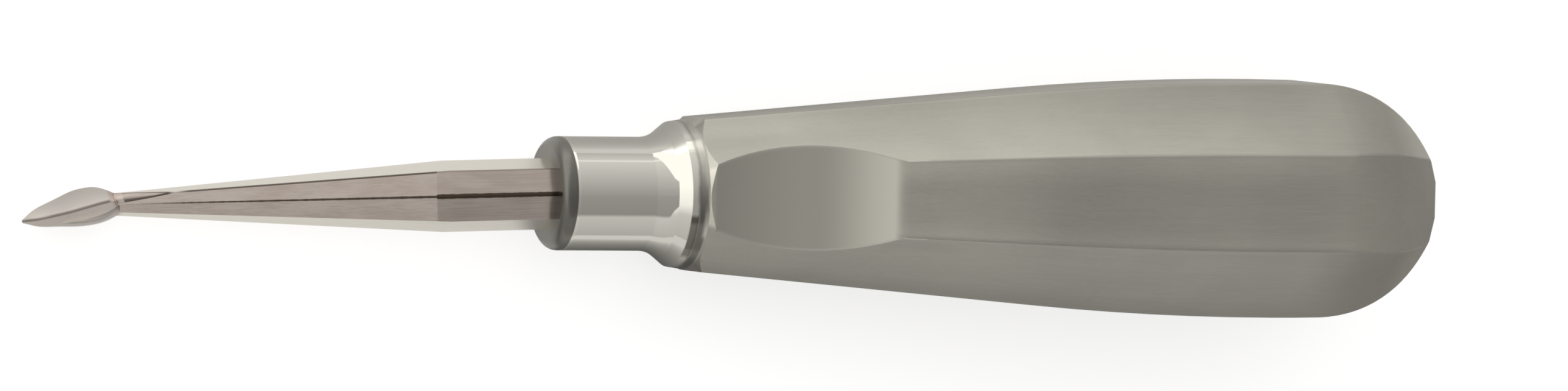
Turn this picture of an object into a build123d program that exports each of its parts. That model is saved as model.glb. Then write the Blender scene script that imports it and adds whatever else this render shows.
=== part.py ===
from build123d import *
from math import asin, atan, cos, degrees, pi, radians, sin, sqrt, tan
import os

# Surgical elevator: a hollow eight-sided steel handle with a round polished neck, and one forged
# working end, a gouge blade on a tapered eight-sided shank, whose tang is set in the neck.
# Sizes are in millimetres and degrees. The tool lies on one flat of the handle, so the handle's
# axis climbs towards the butt by the taper of that flat. +X runs towards the butt and +Z is up,
# on the side of the thumb scoop. The origin is on the flat that the tool lies on.
# Along the handle, places are counted from the end face of the neck towards the butt.

# Neck
neck_radius = 5.85
neck_end_radius = 5.05
neck_end_length = 1.2
neck_straight = 10.1
flare_radius = 3.4
flare_angle = 38

# Shoulder: a shallow polished band behind the flare, and the steep bevel that the flats run into
band_start = 13.35
band_length = 1.8
band_angle = 9
bevel_angle = 41

# Grip
flat_count = 8
flat_taper = 5
shoulder = 13.68
shoulder_apothem = 7.67
flat_length = 38.7
crown_radius = 302
crown_length = 31.6
butt_radius = 14.4
butt_angle = 56.3
butt_end_apothem = 2
diagonal_lag = 1.2
corner_softness = 0.4
wall = 1.2

# Thumb scoop in the flat opposite the one that the tool lies on
scoop_middle = 11.9
scoop_depth = 1.76
scoop_radius = 30
scoop_blend = 6
scoop_lip = 0.02

# Tang and its bore through the neck
tang_radius = 2.2
tang_length = 12
tang_clearance = 0.03

# Shank: its axis crosses the handle's axis inside the neck and leans to one side
shank_lean = 1.7
shank_roll = 2.5
lean_point = 2.1
barrel_corner_radius = 3.65
barrel_length = 11.3
shank_length = 35.45
shank_tip_radius = 1.13
runout_length = 5.6
runout_depth = 0.36
runout_radius = 2.2

# Blade: a leaf with a hollow face, leaning a little more than the shank
blade_length = 9.85
blade_lean = 8.8
blade_turn = 45
blade_half_width = 2.08
blade_back = 1.45
blade_face = 1.05
blade_hollow = 0.8
blade_wall_sag = 0.12

# Sections of the blade from its root inside the shank to its tip, each as shares of the sizes
# above: the place along the blade, the half width, the back, the face and the hollow in the face
blade_sections = [
    (-0.08, 0.3, 0.6, 0.4, 0.1),
    (0, 0.5, 0.82, 0.78, 0.4),
    (0.06, 0.68, 0.9, 0.91, 0.6),
    (0.15, 0.88, 0.97, 1.0, 0.82),
    (0.25, 0.976, 0.99, 0.97, 0.95),
    (0.35, 1.0, 0.95, 0.88, 1.0),
    (0.46, 0.952, 0.87, 0.70, 0.95),
    (0.57, 0.846, 0.75, 0.50, 0.8),
    (0.78, 0.661, 0.48, 0.12, 0.42),
    (0.91, 0.385, 0.26, -0.02, 0.15),
    (1.0, 0.105, 0.1, -0.04, 0.02),
]

# Places and angles worked out from the sizes above
taper = radians(flat_taper)
flare = radians(flare_angle)
flare_end = neck_straight + flare_radius * sin(flare)
flare_end_radius = neck_radius + flare_radius * (1 - cos(flare))
band_start_radius = flare_end_radius + (band_start - flare_end) * tan(flare)
band_end = band_start + band_length
band_end_radius = band_start_radius + band_length * tan(radians(band_angle))
neck_end_apothem = shoulder_apothem - shoulder * tan(taper)
crown_start = shoulder + flat_length * cos(taper)
crown_start_apothem = shoulder_apothem + flat_length * sin(taper)
butt_turn = radians(butt_angle)
hollow_start = band_end
grip_middle = (shoulder + crown_start) / 2
reach = 2 * crown_start_apothem
flat_step = 360 / flat_count
corner_share = cos(pi / flat_count)

# Frame of the tool: X along the handle's axis from the neck's end, Y sideways, Z to the scoop
tool = Plane(
    origin=(-grip_middle * cos(taper), 0, neck_end_apothem * cos(taper)),
    x_dir=(cos(taper), 0, sin(taper)),
    z_dir=(-sin(taper), 0, cos(taper)),
)
tool_axis = Axis(tool.origin, tool.x_dir)

# Frames of the shank and the blade, with X towards the butt as in the tool's frame
barrel_end = -lean_point - barrel_length
shank_end = barrel_end - shank_length
shank = tool.moved(Location((lean_point, 0, 0), (-shank_roll, 0, shank_lean)))
blade = shank.moved(Location((shank_end, 0, 0), (0, 0, blade_lean)))


def across(frame, distance, turn=0):
    # plane square to the frame's X that faces the tip. Its x is the frame's Z, turned towards Y
    square = Plane(
        frame.from_local_coords((distance, 0, 0)), x_dir=frame.z_dir, z_dir=-frame.x_dir
    )
    return square.moved(Rotation(0, 0, turn))


def flat_profile(inset=0, lag=0):
    # four points of a flat's side profile, moved in by the inset: where the flat starts, where its
    # crown starts and ends, and where its butt arc ends. The lag makes the crown that much longer
    length = crown_length + lag
    crown_fall = asin(length / crown_radius - sin(taper))
    crown_end = crown_start + length
    crown_end_apothem = crown_start_apothem + crown_radius * (cos(crown_fall) - cos(taper))
    arc_end = crown_end + butt_radius * (sin(butt_turn) - sin(crown_fall))
    arc_end_apothem = crown_end_apothem - butt_radius * (cos(crown_fall) - cos(butt_turn))
    slopes = (
        (-neck_radius, shoulder_apothem - (shoulder + neck_radius) * tan(taper), taper),
        (crown_start, crown_start_apothem, taper),
        (crown_end, crown_end_apothem, -crown_fall),
        (arc_end, arc_end_apothem, -butt_turn),
    )
    return [(x + inset * sin(slope), z - inset * cos(slope)) for x, z, slope in slopes]


plain_end = flat_profile()[3]
butt_end = plain_end[0] + (plain_end[1] - butt_end_apothem) / tan(butt_turn)


def flat_outline(plane, inset=0, lag=0):
    # side outline of two opposite flats, over the crown to the butt
    start, crown_from, crown_to, arc_to = flat_profile(inset, lag)
    end = butt_end - inset
    with BuildSketch(plane) as outline:
        with BuildLine():
            Polyline((end, 0), (start[0], 0), start, crown_from)
            RadiusArc(crown_from, crown_to, crown_radius - inset)
            RadiusArc(crown_to, arc_to, butt_radius - inset)
            Polyline(arc_to, (end, arc_to[1] - (end - arc_to[0]) * tan(butt_turn)), (end, 0))
        make_face()
        mirror(about=Plane.XZ)
    return outline.sketch


def all_flats(inset=0):
    # outlines of the flats in pairs. Every other pair turns over into the butt a little later
    return [
        flat_outline(
            tool.moved(Rotation(pair * flat_step, 0, 0)), inset, diagonal_lag * (pair % 2)
        )
        for pair in range(flat_count // 2)
    ]


# Scoop: a shallow cylinder across the upper flat, eased out of it at the butt end. Its frame lies
# in that flat, with X along it from the shoulder and Y out of it.
scoop_frame = Plane(
    tool.from_local_coords((shoulder, 0, shoulder_apothem)), x_dir=tool.x_dir, z_dir=-tool.y_dir
).moved(Rotation(0, 0, flat_taper))
scoop_centre = (scoop_middle, scoop_radius - scoop_depth)
blend_drop = scoop_blend - scoop_lip
blend_centre = (
    scoop_middle + sqrt((scoop_radius + scoop_blend) ** 2 - (scoop_centre[1] + blend_drop) ** 2),
    -blend_drop,
)


def scoop_outline(grown=0):
    radius = scoop_radius + grown
    blend = scoop_blend - grown
    share = blend / (radius + blend)
    entry = (scoop_middle - sqrt(radius**2 - (scoop_centre[1] - scoop_depth) ** 2), scoop_depth)
    meeting = (
        blend_centre[0] + share * (scoop_centre[0] - blend_centre[0]),
        blend_centre[1] + share * (scoop_centre[1] - blend_centre[1]),
    )
    crest = (blend_centre[0], blend_centre[1] + blend)
    with BuildSketch(scoop_frame) as outline:
        with BuildLine():
            RadiusArc(entry, meeting, -radius)
            RadiusArc(meeting, crest, blend)
            Polyline(crest, (crest[0], scoop_depth), entry)
        make_face()
    return outline.sketch


# Hollow of the handle, one wall inside the flats, the butt and the scoop
with BuildPart() as hollow:
    with BuildSketch(across(tool, butt_end)):
        Circle(reach)
    extrude(amount=butt_end - hollow_start)
    for inner_flats in all_flats(wall):
        extrude(inner_flats, amount=reach, both=True, mode=Mode.INTERSECT)
    extrude(scoop_outline(wall), amount=reach, both=True, mode=Mode.SUBTRACT)


def is_corner(edge):
    # true for the long edges between neighbouring flats
    middle = tool.to_local_coords(edge.position_at(0.5))
    return middle.X > band_end and abs(edge.tangent_at(0.5).dot(tool.x_dir)) > 0.3


# Handle: a turned neck, flare and shoulder, with eight flats that end at the shoulder's bevel
with BuildPart() as handle:
    with BuildSketch(tool):
        with BuildLine():
            Line((0, 0), (0, neck_end_radius))
            TangentArc((neck_end_length, neck_radius), (0, neck_end_radius), tangent=(-1, 0))
            Line((neck_end_length, neck_radius), (neck_straight, neck_radius))
            RadiusArc(
                (neck_straight, neck_radius), (flare_end, flare_end_radius), -flare_radius
            )
            Polyline(
                (flare_end, flare_end_radius),
                (band_start, band_start_radius),
                (band_end, band_end_radius),
                (band_end + (reach - band_end_radius) / tan(radians(bevel_angle)), reach),
                (butt_end + wall, reach),
                (butt_end + wall, 0),
                (0, 0),
            )
        make_face()
    revolve(axis=tool_axis)
    for outer_flats in all_flats():
        extrude(outer_flats, amount=reach, both=True, mode=Mode.INTERSECT)
    fillet(handle.edges().filter_by(is_corner), corner_softness)
    extrude(scoop_outline(), amount=reach, both=True, mode=Mode.SUBTRACT)
    add(hollow.part, mode=Mode.SUBTRACT)
    with BuildSketch(across(shank, hollow_start + wall)):
        Circle(tang_radius + tang_clearance)
    extrude(amount=hollow_start + lean_point + wall + tang_radius, mode=Mode.SUBTRACT)


def blade_section(place, half_width, back, face, hollow_depth):
    # rounded back and two slightly hollow walls that meet in a valley, drawn square to the blade
    valley = face - hollow_depth
    wall_middle = (face - hollow_depth / 2 - blade_wall_sag * hollow_depth, half_width / 2)
    with BuildSketch(across(blade, -place, blade_turn)) as section:
        with BuildLine():
            ThreePointArc((face, half_width), (-back, 0), (face, -half_width))
            ThreePointArc((face, -half_width), (wall_middle[0], -wall_middle[1]), (valley, 0))
            ThreePointArc((valley, 0), wall_middle, (face, half_width))
        make_face()
    return section.sketch


# Working end: barrel, tapered shank, tang, and a blade whose hollow runs out along the shank
tip_slope = atan((barrel_corner_radius - shank_tip_radius) * corner_share / shank_length)
runout_fall = degrees(atan(runout_depth / runout_length) + tip_slope / corner_share)
with BuildPart() as blade_and_shank:
    with BuildSketch(across(shank, 0)):
        RegularPolygon(barrel_corner_radius, flat_count)
    extrude(amount=lean_point + barrel_length)
    split(bisect_by=across(tool, 0), keep=Keep.TOP)
    with BuildSketch(across(shank, barrel_end)):
        RegularPolygon(barrel_corner_radius, flat_count)
    extrude(amount=shank_length, taper=degrees(tip_slope))
    with BuildSketch(across(shank, tang_length - lean_point)):
        Circle(tang_radius)
    extrude(amount=tang_length + tang_radius)
    sections = [
        blade_section(
            place * blade_length,
            half_width * blade_half_width,
            back * blade_back,
            face * blade_face,
            hollow_depth * blade_hollow,
        )
        for place, half_width, back, face, hollow_depth in blade_sections
    ]
    loft(sections)
    runout = Location((shank_end, 0, 0), (-blade_turn, 0, 0)) * Location(
        (0, 0, shank_tip_radius - runout_depth), (0, -runout_fall, 0)
    )
    with BuildSketch(across(shank.moved(runout), -runout_radius)):
        with Locations((runout_radius, 0)):
            Circle(runout_radius)
    extrude(amount=-runout_length - 2 * runout_radius, mode=Mode.SUBTRACT)

handle.part.label = "handle"
blade_and_shank.part.label = "blade_and_shank"
os.makedirs("parts", exist_ok=True)
export_step(handle.part, "parts/handle.step")
export_step(blade_and_shank.part, "parts/blade_and_shank.step")
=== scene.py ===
import bpy
from math import cos, degrees, radians, sin, tan
from mathutils import Matrix, Vector

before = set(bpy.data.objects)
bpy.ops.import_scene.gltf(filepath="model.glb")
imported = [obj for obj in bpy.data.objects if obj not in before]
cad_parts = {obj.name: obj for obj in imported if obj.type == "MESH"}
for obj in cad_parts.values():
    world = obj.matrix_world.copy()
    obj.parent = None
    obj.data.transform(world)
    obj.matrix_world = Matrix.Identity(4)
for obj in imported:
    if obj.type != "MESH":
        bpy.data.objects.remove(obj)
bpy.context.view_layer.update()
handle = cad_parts["handle"]
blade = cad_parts["blade_and_shank"]
mm = 0.001

# How the tool lies and where its flats are, as in the CAD. The handle's axis climbs towards the
# butt by the taper of the flat that it lies on, and is measured from the end face of the neck.
cad = {
    "taper": 5,  # degrees
    "neckEnd": (-32.831, 0, 6.4485),  # mm
    "shoulder": 13.68,  # mm along the axis, where the flats are one apothem out from it
    "apothem": 7.67,  # mm
}
taper = radians(cad["taper"])
toButt = Vector((cos(taper), 0, sin(taper)))
toScoop = Vector((-sin(taper), 0, cos(taper)))
sideUp = toScoop.cross(toButt)
neckEnd = Vector(cad["neckEnd"]) * mm


# Shader maths: a socket that takes part in Python expressions
class Wire:
    def __init__(self, tree, socket):
        self.tree = tree
        self.socket = socket

    def math(self, operation, *others):
        return node(self.tree, "ShaderNodeMath", {"operation": operation}, [self, *others])

    def __add__(self, other):
        return self.math("ADD", other)

    def __radd__(self, other):
        return self.math("ADD", other)

    def __sub__(self, other):
        return self.math("SUBTRACT", other)

    def __rsub__(self, other):
        return node(self.tree, "ShaderNodeMath", {"operation": "SUBTRACT"}, [other, self])

    def __mul__(self, other):
        return self.math("MULTIPLY", other)

    def __truediv__(self, other):
        return self.math("DIVIDE", other)

    def __neg__(self):
        return self.math("MULTIPLY", -1)

    def __abs__(self):
        return self.math("ABSOLUTE")


def node(tree, kind, settings=None, inputs=(), output=0):
    # one node of any kind: its settings first, then values or wires for its sockets
    new = tree.nodes.new(kind)
    for name, value in (settings or {}).items():
        if name == "stops":
            elements = new.color_ramp.elements
            while len(elements) < len(value):
                elements.new(0.5)
            for element, (place, colour) in zip(elements, value):
                element.position = place
                element.color = colour
        else:
            setattr(new, name, value)
    pairs = inputs.items() if isinstance(inputs, dict) else enumerate(inputs)
    for key, value in pairs:
        if isinstance(value, Wire):
            tree.links.new(value.socket, new.inputs[key])
        else:
            new.inputs[key].default_value = value
    return Wire(tree, new.outputs[output]) if len(new.outputs) else None


def newTree(name):
    material = bpy.data.materials.new(name)
    material.use_nodes = True
    material.node_tree.nodes.clear()
    return material, material.node_tree


def ramp(value, low, high, smooth=True):
    # 0 below low and 1 above high
    settings = {"interpolation_type": "SMOOTHSTEP" if smooth else "LINEAR"}
    inputs = {0: value, 1: low, 2: high, 3: 0.0, 4: 1.0}
    return node(value.tree, "ShaderNodeMapRange", settings, inputs)


def step(value, middle, edge):
    # a ramp about a middle, with the half width of its edge
    return ramp(value, middle - edge, middle + edge)


def stretch(value, rise, fall):
    # 1 between the range that it rises over and the one that it falls over
    return ramp(value, *rise) * (1 - ramp(value, *fall))


def mix(share, first, second):
    # from one number to another
    return first + share * (second - first)


def blendColours(share, first, second):
    inputs = {0: share, 6: first, 7: second}
    return node(share.tree, "ShaderNodeMix", {"data_type": "RGBA"}, inputs, output=2)


def scaled(colour, share):
    # the colour is a wire or four numbers, of which the last is left out
    inputs = {0: colour if isinstance(colour, Wire) else colour[:3], 3: share}
    return node(share.tree, "ShaderNodeVectorMath", {"operation": "SCALE"}, inputs)


def toneRound(turn, stops, strongest):
    # a tone by degrees from -180 to 180, given in stops as a share of the strongest
    settings = {"stops": [((at + 180) / 360, (tone, tone, tone, 1)) for at, tone in stops]}
    return node(turn.tree, "ShaderNodeValToRGB", settings, [(turn + 180) / 360]) * strongest


def vectorOf(x, y, z):
    return node(x.tree, "ShaderNodeCombineXYZ", {}, [x, y, z])


def noise(vector, scale, detail=2.0, roughness=0.5):
    inputs = {"Vector": vector, "Scale": scale, "Detail": detail, "Roughness": roughness}
    return node(vector.tree, "ShaderNodeTexNoise", {}, inputs)


def grain(place, lengthways, across, detail, roughness):
    # noise drawn out along the tool, by its scale per mm lengthways and across
    along, side, up = place
    drawnOut = vectorOf(along * lengthways, side * across, up * across)
    return noise(drawnOut, 1.0, detail, roughness)


def dot(vector, direction):
    settings = {"operation": "DOT_PRODUCT"}
    inputs = [vector, tuple(direction)]
    return node(vector.tree, "ShaderNodeVectorMath", settings, inputs, output=1)


def degreesRound(sideways, outwards):
    return sideways.math("ARCTAN2", outwards) * degrees(1)


def toolPlace(tree, origin, along, up):
    # millimetres along the tool, to its side and to its scoop, from the piece's own coordinates
    place = node(tree, "ShaderNodeTexCoord", output=3)
    local = node(tree, "ShaderNodeVectorMath", {"operation": "SUBTRACT"}, [place, tuple(origin)])
    return [dot(local, direction) * (1 / mm) for direction in (along, up.cross(along), up)]


def steel(material, tree, colour, roughness, height, bumpDepth):
    bump = {"Strength": 1.0, "Distance": bumpDepth * mm, "Height": height}
    inputs = {
        "Base Color": colour,
        "Roughness": roughness,
        "Metallic": 1.0,
        "Normal": node(tree, "ShaderNodeBump", {}, bump),
    }
    shader = node(tree, "ShaderNodeBsdfPrincipled", {}, inputs)
    node(tree, "ShaderNodeOutputMaterial", {}, {"Surface": shader})
    return material


# Lengths are in mm along the handle's axis and turns in degrees round it from the scoop, unless
# a comment says otherwise. A pair is the range over which something comes in or fades, an edge is
# half the width of such a range, and a share says how much of a colour is laid on.
handleLook = {
    "endZone": 1.48,  # left dark and unpolished
    "endEdge": 0.04,
    "endColour": (0.16, 0.155, 0.14, 1),
    "endTurn": (35, 80),  # to each side, where the end zone gets paler as a painted reflection, and by how much
    "endPaler": 0.9,
    "endRoughness": 0.3,
    "lip": 0.08,  # mm that the polished neck rounds off by, beside the dark end
    "lipLength": 0.3,

    "mirrorTo": 14.0,  # where the mirror polish stops
    "mirrorEdge": 0.25,
    "mirrorColour": (0.66, 0.645, 0.585, 1),
    "mirrorRoughness": 0.03,
    "waver": 0.5,  # how unevenly hand polishing leaves this edge
    "waverScale": 0.35,  # per mm
    "streak": ((-0.3, 0.05), (0.1, 0.45)),  # a darker line, from the mirror's edge
    "streakColour": (0.2, 0.19, 0.165, 1),
    "streakShare": 0.5,
    "shoulderReflection": ((13.25, 13.4), (14.05, 14.15)),  # a painted dark reflection low on the polished shoulder
    "shoulderReflectionTurn": ((13, 17), (52, 60)),  # downwards in the picture
    "shoulderReflectionColour": (0.09, 0.085, 0.07, 1),
    "shoulderReflectionShare": 0.85,

    "bandColour": (0.36, 0.35, 0.31, 1),
    "bandRoughness": 0.18,
    "brushedFrom": 14.95,  # where brushing starts at the middle of a flat
    "brushedEdge": 0.12,
    "brushedWaver": 0.3,  # share of the mirror's waver
    "brushedLag": 1.7,  # how much further back it starts for each mm that a corner stands out
    "fineGrain": (0.35, 14, 3, 0.55),  # scale per mm along and across, detail and roughness
    "coarseGrain": (0.06, 2.2, 2, 0.5),
    "fineShare": 0.65,
    "cloud": (0.07, 3, 0.5),  # scale per mm, detail and roughness
    "toneRange": (0.33, 0.67),
    "satinColour": (0.33, 0.318, 0.282, 1),
    "satinPale": (0.385, 0.37, 0.326, 1),
    "satinRoughness": 0.34,
    "lineRoughness": 0.1,  # how far the brushing changes it
    "brushDepth": 0.012,  # mm

    # painted light and shade: how pale the band and the satin are by turn, as a share of the
    # palest
    "palest": 2.0,
    "bandPaintedShade": ((-180, 0.4), (-60, 0.2), (-15, 0.24), (8, 0.42), (30, 0.78), (90, 0.72),
                  (180, 0.4)),
    "satinPaintedShade": ((-180, 0.52), (-112, 0.52), (-72, 0.5), (-66, 0.38), (-55, 0.45), (-35, 0.5),
                   (-24, 0.5), (-20, 0.68), (-12, 0.6), (8, 0.585), (20, 0.71), (24, 0.65),
                   (45, 0.58), (66, 0.5), (69, 0.85), (112, 0.7), (180, 0.52)),
    # painted light: the flat with the scoop is paler towards both of its ends
    "flatTurn": (20, 24),  # to each side
    "flatStart": (38, 58),
    "flatStartPaler": 0.2,
    "flatEnd": (55, 76),
    "flatEndPaler": 0.13,
    # painted light: the flat above it is paler where it starts
    "upperTurn": ((42, 58), (66, 69)),
    "upperFade": (20, 42),
    "upperPaler": 0.2,

    # at the butt the satin is rougher, and its painted light and shade go by the direction that
    # the surface faces
    "buttFrom": (79, 88),
    "buttPaintedShade": ((-180, 0.52), (-85, 0.5), (-50, 0.4), (-40, 0.42), (-8, 0.66), (8, 0.66),
                  (40, 0.57), (50, 0.56), (85, 0.7), (95, 0.7), (180, 0.52)),
    "buttRoughness": 0.55,
    # painted light: the flats are paler where they turn to the end of the butt, but not the one
    # with the scoop
    "steepPaler": 0.5,
    "steepNormal": (0.36, 0.75),  # share of the normal that lies along the axis
    "steepTurn": (12, 35),

    "scoopFrom": (14.5, 15.0),
    "scoopTo": (38.0, 38.5),
    "scoopNormal": (0.8, 0.86),  # share of the normal that faces the scoop's way
    "scoopDepth": (0.01, 0.3),  # mm below the flat
    "scoopColour": (0.44, 0.43, 0.375, 1),
    "scoopTone": 1.2,
    "scoopRise": (27, 35),  # where the scoop gets paler as a painted reflection, and by how much
    "scoopPaler": 0.78,
    "scoopRoughness": 0.3,
    "scoopSmoother": 0.5,  # share of the brush depth that it lacks
    # a painted highlight along the rim of the scoop
    "rimHighlightColour": (0.72, 0.7, 0.62, 1),
    "rimHighlightShare": 0.5,
    "rimSides": (0.03, 0.22),  # mm in from the next flats
    "rimStart": (0.05, 0.17),  # mm below the flat, at the scoop's start
    "rimStartTo": (16.5, 17.5),
    "rimDepth": (0.0, 0.03),  # mm below the flat
}


def handleSteel():
    look = handleLook
    material, tree = newTree("handleSteel")
    place = toolPlace(tree, neckEnd, toButt, toScoop)
    along, side, up = place
    normal = node(tree, "ShaderNodeTexCoord", output=1)
    toSide = dot(normal, sideUp)
    outwards = dot(normal, toScoop)
    spot = vectorOf(*place)
    turn = degreesRound(side, up)
    flatPlane = (along - cad["shoulder"]) * tan(taper) + cad["apothem"]
    offAxis = (side * side + up * up).math("SQRT")

    # finishes along the tool, with edges as uneven as hand polishing leaves them
    waver = (noise(spot, look["waverScale"]) - 0.5) * look["waver"]
    fromMirror = along + waver - look["mirrorTo"]
    polished = 1 - step(fromMirror, 0, look["mirrorEdge"])
    corner = (offAxis - flatPlane).math("MAXIMUM", 0.0) * look["brushedLag"]
    brushed = along + waver * look["brushedWaver"] - corner
    brushed = step(brushed, look["brushedFrom"], look["brushedEdge"])
    endZone = 1 - step(along, look["endZone"], look["endEdge"])

    # the scoop lies below the plane of the flat that it is cut in, and faces the same way
    depth = flatPlane - up
    reached = stretch(along, look["scoopFrom"], look["scoopTo"])
    reached = reached * ramp(outwards, *look["scoopNormal"])
    scoop = ramp(depth, *look["scoopDepth"]) * reached
    brushed = brushed.math("MAXIMUM", scoop)

    # brushing: lines along the tool in two sizes, and slow changes of tone
    fine = grain(place, *look["fineGrain"])
    coarse = grain(place, *look["coarseGrain"])
    lines = fine * look["fineShare"] + coarse * (1 - look["fineShare"])
    cloud = noise(spot, *look["cloud"])
    tone = ramp(lines * 0.5 + cloud * 0.5, *look["toneRange"])
    satin = blendColours(tone, look["satinColour"], look["satinPale"])

    # painted light and shade: how pale each flat is
    atStart = (1 - ramp(along, *look["flatStart"])) * look["flatStartPaler"]
    atEnd = ramp(along, *look["flatEnd"]) * look["flatEndPaler"]
    scoopFlat = (1 - ramp(abs(turn), *look["flatTurn"])) * (atStart + atEnd)
    upperFlat = stretch(turn, *look["upperTurn"]) * (1 - ramp(along, *look["upperFade"]))
    shade = toneRound(turn, look["satinPaintedShade"], look["palest"])
    shade = shade * (1 + scoopFlat + upperFlat * look["upperPaler"])
    # painted light and shade at the butt, by the direction that the surface faces
    facing = degreesRound(toSide, outwards)
    steep = ramp(dot(normal, toButt), *look["steepNormal"])
    steep = steep * ramp(abs(facing), *look["steepTurn"])
    buttShading = toneRound(facing, look["buttPaintedShade"], look["palest"])
    buttShading = buttShading * (1 + steep * look["steepPaler"])
    atButt = ramp(along, *look["buttFrom"])
    satin = scaled(satin, mix(atButt, shade, buttShading))

    # the scoop, with its painted paler reflection, and the painted highlight along its rim
    scoopTone = look["scoopTone"] + ramp(along, *look["scoopRise"]) * look["scoopPaler"]
    satin = blendColours(scoop, satin, scaled(look["scoopColour"], scoopTone))
    # a painted highlight along the rim of the scoop
    inFromNext = flatPlane - (abs(side) + up) * cos(radians(45))
    rimHighlight = 1 - ramp(inFromNext, *look["rimSides"])
    startRimHighlight = 1 - ramp(depth, *look["rimStart"])
    startRimHighlight = startRimHighlight * (1 - ramp(along, *look["rimStartTo"]))
    rimHighlight = rimHighlight.math("MAXIMUM", startRimHighlight) * ramp(depth, *look["rimDepth"]) * reached
    satin = blendColours(rimHighlight * look["rimHighlightShare"], satin, look["rimHighlightColour"])

    # the finishes, with their painted light, shade and reflections, one over the other
    band = scaled(look["bandColour"], toneRound(turn, look["bandPaintedShade"], look["palest"]))
    colour = blendColours(brushed, band, satin)
    streak = stretch(fromMirror, *look["streak"])
    colour = blendColours(streak * look["streakShare"], colour, look["streakColour"])
    colour = blendColours(polished, colour, look["mirrorColour"])
    # a painted dark reflection low on the polished shoulder
    shoulderReflection = stretch(along, *look["shoulderReflection"]) * stretch(-turn, *look["shoulderReflectionTurn"])
    colour = blendColours(shoulderReflection * look["shoulderReflectionShare"], colour, look["shoulderReflectionColour"])
    # painted reflection: the dark end zone is paler to each side
    endTone = 1 + ramp(abs(turn), *look["endTurn"]) * look["endPaler"]
    colour = blendColours(endZone, colour, scaled(look["endColour"], endTone))

    roughness = look["satinRoughness"] + (lines - 0.5) * look["lineRoughness"]
    roughness = roughness + atButt * (look["buttRoughness"] - look["satinRoughness"])
    roughness = roughness + scoop * (look["scoopRoughness"] - look["satinRoughness"])
    roughness = mix(brushed, look["bandRoughness"], roughness)
    roughness = mix(polished, roughness, look["mirrorRoughness"])
    roughness = mix(endZone, roughness, look["endRoughness"])
    lip = ramp(along, look["endZone"], look["endZone"] + look["lipLength"])
    height = lines * brushed * (1 - scoop * look["scoopSmoother"])
    height = height + lip * (look["lip"] / look["brushDepth"])
    return steel(material, tree, colour, roughness, height, look["brushDepth"])


# Lengths are in mm along the shank, from the point that it leans about, and get less towards the
# tip. Pairs, edges and shares are as in the handle's look.
shankLook = {
    "lean": 1.7,  # degrees off the handle's axis
    "leanPoint": 2.1,  # mm into the neck
    "roll": 2.5,  # degrees, which turns a corner of the shank to the top of the picture
    "colour": (0.43, 0.365, 0.325, 1),
    "pale": (0.5, 0.44, 0.395, 1),
    "grain": (0.15, 9, 4, 0.6),  # scale per mm along and across, detail and roughness
    "cloud": (0.2, 0.6, 3, 0.5),
    "toneRange": (0.38, 0.62),
    "roughness": 0.24,
    "grainRoughness": 0.12,  # how far the grain changes it
    "brushDepth": 0.004,  # mm

    # painted light: the flats that face sideways are much paler
    "flankLightColour": (0.93, 0.885, 0.8, 1),
    "flankNormal": (0.75, 0.85),  # share of the normal that faces sideways
    "flankFade": 1,  # mm from the blade
    # where the barrel ends at the shank's middle, and how much sooner for each mm further out
    "barrelEnd": (-13.83, 0.382),
    "barrelEdge": 0.1,
    "taperPaler": 0.12,
    "frontPaler": 0.25,  # painted light on the taper's face below the corner line
    "frontNormal": (0.8, 0.9),  # share of the normal that faces the scoop's way
    "frontEdge": 0.05,  # mm across the corner

    # a painted dark reflection along the corner that faces the scoop's way
    "lineReflectionColour": (0.07, 0.052, 0.038, 1),
    "taperLineColour": (0.09, 0.07, 0.052, 1),
    # mm, its half width on the barrel, where the taper starts and at the blade
    "cornerLine": (0.25, 0.14, 0.06),
    "lineEdge": (-0.05, 0.03),  # mm from its half width
    "lineWaver": (1.2, 0.12),  # scale per mm, and mm
    "lineFrom": (-48.5, -40.5),  # where it comes out of the blade's run-out
    "lineHeight": (0.5, 0.8),  # mm off the shank's axis
    # a thin brown line on the next corner
    "edgeColour": (0.27, 0.22, 0.18, 1),
    "edgeLine": (0.1, 0.15),  # mm, its half width on the barrel and on the taper
    "edgeFade": (0, 0.08),  # mm from its half width
    "edgeFrom": (6, 8),  # mm from the blade
    "edgeShare": (0.7, 0.9),  # on the barrel and on the taper

    "end": -48.85,  # where the blade starts
    "bladeLean": 8.8,  # degrees off the shank
    "bladeTurn": 45,  # degrees from the shank's upper corner to the middle of the blade's face
    # the groove, in mm from the blade
    "grooveFloor": 0.77,  # mm off the shank's axis
    "grooveRise": 0.136,  # how fast it rises out of the shank
    "grooveRadius": 2.2,
    "grooveColour": (0.1, 0.08, 0.068, 1),
    "grooveSpan": ((0.0, 0.1), (5.4, 6.4)),
    "grooveEdge": (0.03, 0.06),  # mm off the ground surface
    "patch": ((0.1, 0.25), (0.7, 1.0)),  # a paler patch at its start
    "patchShare": 0.7,

    "bladeColour": (0.6, 0.555, 0.51, 1),
    "bladeFrom": (-0.5, -0.1),  # mm from where it starts
    "faceNormal": (0.6, 0.75),  # share of the normal that faces as the hollow does
    # painted shade in the valley of the hollow face, on its lower wall and on the back
    "valleyShadeColour": (0.13, 0.105, 0.085, 1),
    "valleyWidth": (0.02, 0.3),  # mm to each side
    "valleyShare": 0.85,
    "lowerWall": (-0.04, 0.02),  # mm across the face
    "lowerShare": 0.1,
    "backShadeColour": (0.2, 0.17, 0.145, 1),
    "backNormal": (0.05, 0.6),  # share of the normal that faces the scoop's way
    "backShare": 0.1,
}


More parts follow.
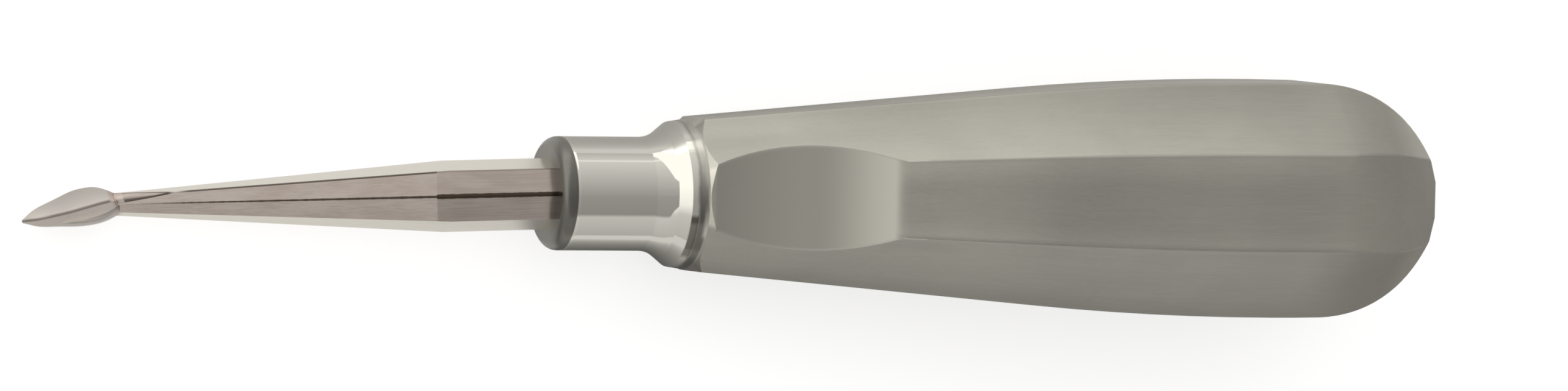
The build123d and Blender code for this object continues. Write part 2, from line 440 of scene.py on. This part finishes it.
def shankSteel():
    look = shankLook
    material, tree = newTree("shankSteel")
    lean = radians(look["lean"])
    roll = radians(look["roll"])
    shankAlong = toButt * cos(lean) + sideUp * sin(lean)
    shankUp = toScoop * cos(roll) + toScoop.cross(shankAlong) * sin(roll)
    shankSide = shankUp.cross(shankAlong)
    origin = neckEnd + toButt * look["leanPoint"] * mm
    place = toolPlace(tree, origin, shankAlong, shankUp)
    along, side, up = place
    past = along - look["end"]
    normal = node(tree, "ShaderNodeTexCoord", output=1)
    upwards = dot(normal, shankUp)

    fine = grain(place, *look["grain"])
    cloud = grain(place, *look["cloud"])
    tone = ramp(fine * 0.5 + cloud * 0.5, *look["toneRange"])
    colour = blendColours(tone, look["colour"], look["pale"])
    # painted light on the flats that face sideways
    flankLight = ramp(abs(dot(normal, shankSide)), *look["flankNormal"])
    flankLight = flankLight * ramp(past, 0, look["flankFade"])
    colour = blendColours(flankLight, colour, look["flankLightColour"])
    barrelEnd, outward = look["barrelEnd"]
    onTaper = 1 - step(along + up * outward, barrelEnd, look["barrelEdge"])
    # painted light on the taper's face below the corner line, added to the taper's paler tone
    front = ramp(upwards, *look["frontNormal"]) * (1 - step(side, 0, look["frontEdge"]))
    paler = front * look["frontPaler"] + look["taperPaler"]
    colour = scaled(colour, 1 + onTaper * paler * (1 - flankLight))

    # the lines along two of the corners: a painted dark reflection on the one that faces the
    # scoop's way, and a thin brown line on the next
    onTop = ramp(up, *look["lineHeight"])
    widest, wide, narrow = look["cornerLine"]
    waverScale, waver = look["lineWaver"]
    width = mix(onTaper, widest, wide)
    width = width + ramp(-along, -barrelEnd, -look["end"], smooth=False) * (narrow - wide)
    width = width + (noise(vectorOf(along * waverScale, 0, 0), 1.0) - 0.5) * waver
    cornerReflection = 1 - ramp(abs(side) - width, *look["lineEdge"])
    cornerReflection = cornerReflection * onTop * ramp(along, *look["lineFrom"])
    lineReflectionColour = blendColours(onTaper, look["lineReflectionColour"], look["taperLineColour"])
    colour = blendColours(cornerReflection, colour, lineReflectionColour)
    edge = 1 - ramp(abs(side - up) - mix(onTaper, *look["edgeLine"]), *look["edgeFade"])
    edge = edge * onTop * ramp(past, *look["edgeFrom"]) * mix(onTaper, *look["edgeShare"])
    edgeColour = blendColours(onTaper, look["edgeColour"], look["taperLineColour"])
    colour = blendColours(edge, colour, edgeColour)

    # the groove, in which the blade's hollow runs out along the shank
    turned = radians(look["bladeTurn"])
    out = up * cos(turned) + side * sin(turned)
    aside = side * cos(turned) - up * sin(turned)
    ground = aside * aside * (0.5 / look["grooveRadius"]) + past * look["grooveRise"]
    offGround = abs(out - ground - look["grooveFloor"])
    groove = (1 - ramp(offGround, *look["grooveEdge"])) * stretch(past, *look["grooveSpan"])
    patch = stretch(past, *look["patch"]) * look["patchShare"]
    colour = blendColours(groove * (1 - patch), colour, look["grooveColour"])

    # the blade: painted shade, dark in the valley along its hollow face and slight on its lower
    # wall and back
    bladeLean = radians(look["bladeLean"])
    bladeAlong = shankAlong * cos(bladeLean) + shankSide * sin(bladeLean)
    faceOut = shankUp * cos(turned) + shankUp.cross(bladeAlong) * sin(turned)
    bladeEnd = origin + shankAlong * look["end"] * mm
    bladePast, acrossFace = toolPlace(tree, bladeEnd, bladeAlong, faceOut)[:2]
    onBlade = 1 - ramp(bladePast, *look["bladeFrom"])
    colour = blendColours(onBlade, colour, look["bladeColour"])
    face = ramp(dot(normal, faceOut), *look["faceNormal"]) * onBlade
    valley = 1 - ramp(abs(acrossFace), *look["valleyWidth"])
    lowerWall = 1 - ramp(acrossFace, *look["lowerWall"])
    shade = valley * look["valleyShare"] + lowerWall * (1 - valley) * look["lowerShare"]
    colour = blendColours(face * shade, colour, look["valleyShadeColour"])
    back = ramp(upwards, *look["backNormal"]) * (1 - face) * onBlade
    colour = blendColours(back * look["backShare"], colour, look["backShadeColour"])
    roughness = look["roughness"] + (fine - 0.5) * look["grainRoughness"]
    return steel(material, tree, colour, roughness, fine, look["brushDepth"])


def dress(piece, material):
    piece.data.materials.clear()
    piece.data.materials.append(material)


dress(handle, handleSteel())
dress(blade, shankSteel())
print("steel finishes done")

# Studio: a pale floor, the camera as the photograph shows the tool, and a light tent.
# On the floor, lengths are in m, and a lift is what is added to the light that comes from it.
studio = {
    "floorSize": 4.0,
    "floorColour": (0.8, 0.8, 0.795, 1),
    "cameraLift": 0.6,  # keeps the floor white to the camera, with the tool's shadow on it
    # a white card under the shank, in its reflections
    "cardLift": 0.22,
    "cardEdge": -0.0305,  # along X
    "cardBlur": 0.0015,
    "cardSide": (0.014, 0.016),  # to each side of the shank
    # a soft white card beyond the tip, which the top of the flare reflects
    "flareLift": 1.1,
    "flareBeyond": (0.03, 0.1),  # along -X
    "flareSide": (0.02, 0.07),  # along Y
    # in reflections the floor in front of the tool is darker with painted shadow, and the floor
    # further out paler
    "nearShade": 0.55,
    "nearSide": (-0.004, 0.006),  # along -Y
    "farLift": 0.35,
    "farSide": (0.01, 0.06),  # to each side
}


def paleFloor():
    look = studio
    bpy.ops.mesh.primitive_plane_add(size=look["floorSize"])
    floor = bpy.context.object
    floor.name = "paleFloor"
    material, tree = newTree("paleFloorPaint")
    paint = node(tree, "ShaderNodeBsdfDiffuse", {}, {"Color": look["floorColour"]})
    dark = node(tree, "ShaderNodeBsdfDiffuse", {}, {"Color": (0, 0, 0, 1)})
    path = tree.nodes.new("ShaderNodeLightPath")
    camera = Wire(tree, path.outputs["Is Camera Ray"])
    glossy = Wire(tree, path.outputs["Is Glossy Ray"])
    place = node(tree, "ShaderNodeTexCoord", output=3)
    lengthways = dot(place, (1, 0, 0))
    aside = dot(place, (0, 1, 0))
    card = 1 - step(lengthways, look["cardEdge"], look["cardBlur"])
    card = card * (1 - ramp(abs(aside), *look["cardSide"]))
    far = ramp(abs(aside), *look["farSide"], smooth=False)
    near = ramp(-aside, *look["nearSide"]) * (1 - far) * (1 - card)
    darker = glossy * near * look["nearShade"]
    paint = node(tree, "ShaderNodeMixShader", {}, [darker, paint, dark])
    flareCard = ramp(-lengthways, *look["flareBeyond"]) * ramp(aside, *look["flareSide"])
    shine = card * look["cardLift"] + (1 - card) * far * look["farLift"]
    shine = shine + flareCard * look["flareLift"]
    lift = camera * look["cameraLift"] + glossy * shine
    glow = node(tree, "ShaderNodeEmission", {}, {"Strength": lift})
    both = node(tree, "ShaderNodeAddShader", {}, [paint, glow])
    node(tree, "ShaderNodeOutputMaterial", {}, {"Surface": both})
    dress(floor, material)


viewing = {
    "yaw": 20.9,  # degrees that the view is turned from square on the handle, towards the tip
    "roll": 2.6,  # degrees that the handle is rolled away from the top of the picture
    "turn": 0.4,  # degrees that the picture is turned
    "distance": 1.8,  # m, as the photograph shows next to no perspective
    "width": 160.57,  # mm across the picture
    "centre": (24.4, -0.246),  # mm from the neck's end, in the picture
    "sensor": 36,  # mm
    "clipEnd": 100,  # m
}
yaw, roll, turn = (radians(viewing[name]) for name in ("yaw", "roll", "turn"))
facetOut = toScoop * cos(roll) + sideUp * sin(roll)
pictureUp = sideUp * cos(roll) - toScoop * sin(roll)
toCamera = facetOut * cos(yaw) - toButt * sin(yaw)
pictureRight = toButt * cos(yaw) + facetOut * sin(yaw)


def photoCamera():
    right = pictureRight * cos(turn) + pictureUp * sin(turn)
    up = pictureUp * cos(turn) - pictureRight * sin(turn)
    target = neckEnd + (right * viewing["centre"][0] + up * viewing["centre"][1]) * mm
    data = bpy.data.cameras.new("photoCamera")
    data.sensor_width = viewing["sensor"]
    data.lens = viewing["sensor"] * viewing["distance"] / (viewing["width"] * mm)
    data.clip_end = viewing["clipEnd"]
    camera = bpy.data.objects.new("photoCamera", data)
    bpy.context.scene.collection.objects.link(camera)
    turned = Matrix((right, up, toCamera)).transposed().to_4x4()
    camera.matrix_world = Matrix.Translation(target + toCamera * viewing["distance"]) @ turned
    bpy.context.scene.camera = camera


# Degrees lengthways count from square on the handle's axis, and get less towards the tip
tent = {
    "colour": (1, 0.995, 0.98, 1),
    # where the grey panel ends: at its middle, and at most
    "panelEnd": -52,
    "panelMost": 16,
    # how its end is cut back to both sides: from which middle, in degrees round the axis, from
    # which end, and by how much for each degree
    "panelCut": (-1, -76, 1.12),
    "panelEdge": 2,
    "strongest": 1.3,
    # tone by degrees round the axis, as a share of the strongest: within the length of the
    # panel, and past its end
    "beside": ((-90, 0.5), (-49, 0.62), (-43, 0.31), (-9, 0.35), (21, 0.51), (58, 0.71),
               (67, 0.75), (68, 0.95), (70.5, 0.95), (72, 0.74), (90, 0.54), (125, 0.42)),
    "beyond": ((-90, 0.5), (-45, 0.62), (-25, 1), (0, 1.1), (20, 1.18), (90, 1.18), (100, 0.85),
               (115, 0.6)),
    # how much darker it gets towards the butt
    "buttFade": (10, 80),
    "buttShade": 0.5,
}


def lightTent():
    # what the steel reflects, by direction: a light tent with a grey panel over the tool
    world = bpy.data.worlds.new("lightTent")
    bpy.context.scene.world = world
    world.use_nodes = True
    tree = world.node_tree
    tree.nodes.clear()
    direction = node(tree, "ShaderNodeTexCoord", output=0)
    around = degreesRound(dot(direction, pictureUp), dot(direction, facetOut))
    lengthways = dot(direction, toButt).math("ARCSINE") * degrees(1)
    middle, cutFrom, cutBack = tent["panelCut"]
    end = (abs(around - middle) * cutBack + cutFrom).math("MAXIMUM", tent["panelEnd"])
    end = end.math("MINIMUM", tent["panelMost"])
    beside = step(lengthways - end, 0, tent["panelEdge"])
    tone = beside * toneRound(around, tent["beside"], tent["strongest"])
    tone = tone + (1 - beside) * toneRound(around, tent["beyond"], tent["strongest"])
    toTheButt = ramp(lengthways, *tent["buttFade"], smooth=False)
    tone = tone * (1 - toTheButt * tent["buttShade"])
    path = tree.nodes.new("ShaderNodeLightPath")
    camera = Wire(tree, path.outputs["Is Camera Ray"])
    inside = node(tree, "ShaderNodeBackground", {}, {"Color": tent["colour"], "Strength": tone})
    white = node(tree, "ShaderNodeBackground", {}, {"Color": (1, 1, 1, 1), "Strength": 1.0})
    both = node(tree, "ShaderNodeMixShader", {}, [camera, inside, white])
    node(tree, "ShaderNodeOutputWorld", {}, {"Surface": both})


paleFloor()
photoCamera()
lightTent()
scene = bpy.context.scene
scene.view_settings.view_transform = "Standard"
print("studio done")
